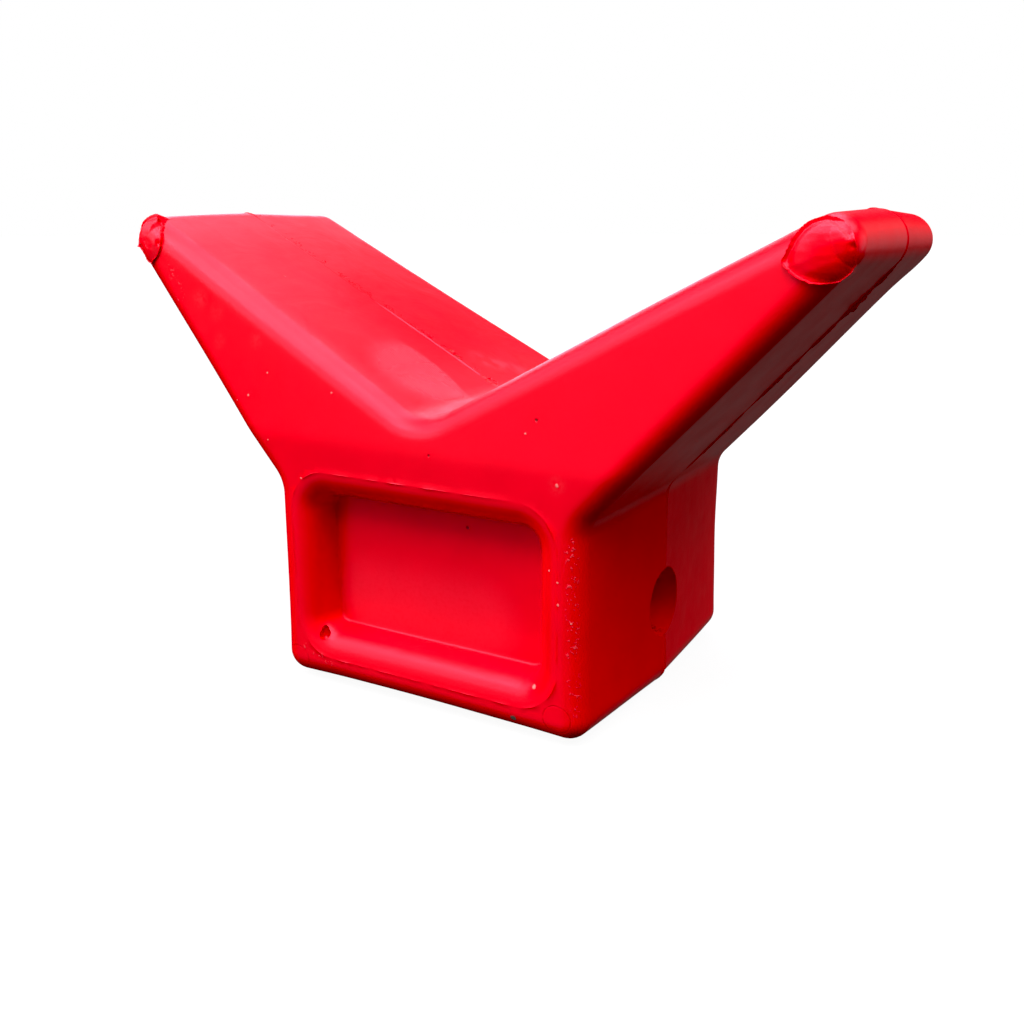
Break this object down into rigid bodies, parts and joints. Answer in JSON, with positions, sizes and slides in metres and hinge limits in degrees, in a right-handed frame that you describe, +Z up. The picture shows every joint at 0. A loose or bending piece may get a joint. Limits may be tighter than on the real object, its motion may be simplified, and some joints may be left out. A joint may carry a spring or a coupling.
{
  "type": "v-shaped bow stop block",
  "caption": "One-piece cast polyurethane block with a V cradle between two wings, a recess front and back, and a cross bore for its pin.",
  "frame": {"origin": "centre of the bounding box's bottom: on the base ridge, midway between the wing tips and between front and back", "axes": "+X along the cross bore, towards the right wing tip seen from the front; +Y from front to back; +Z up, out of the cradle"},
  "size_m": [0.1836, 0.0846, 0.1132],
  "materials": {
    "red_polyurethane": "satin, as cast"
  },
  "bodies": {
    "root": {"bow_stop_block": "red_polyurethane"}
  },
  "joints": []
}
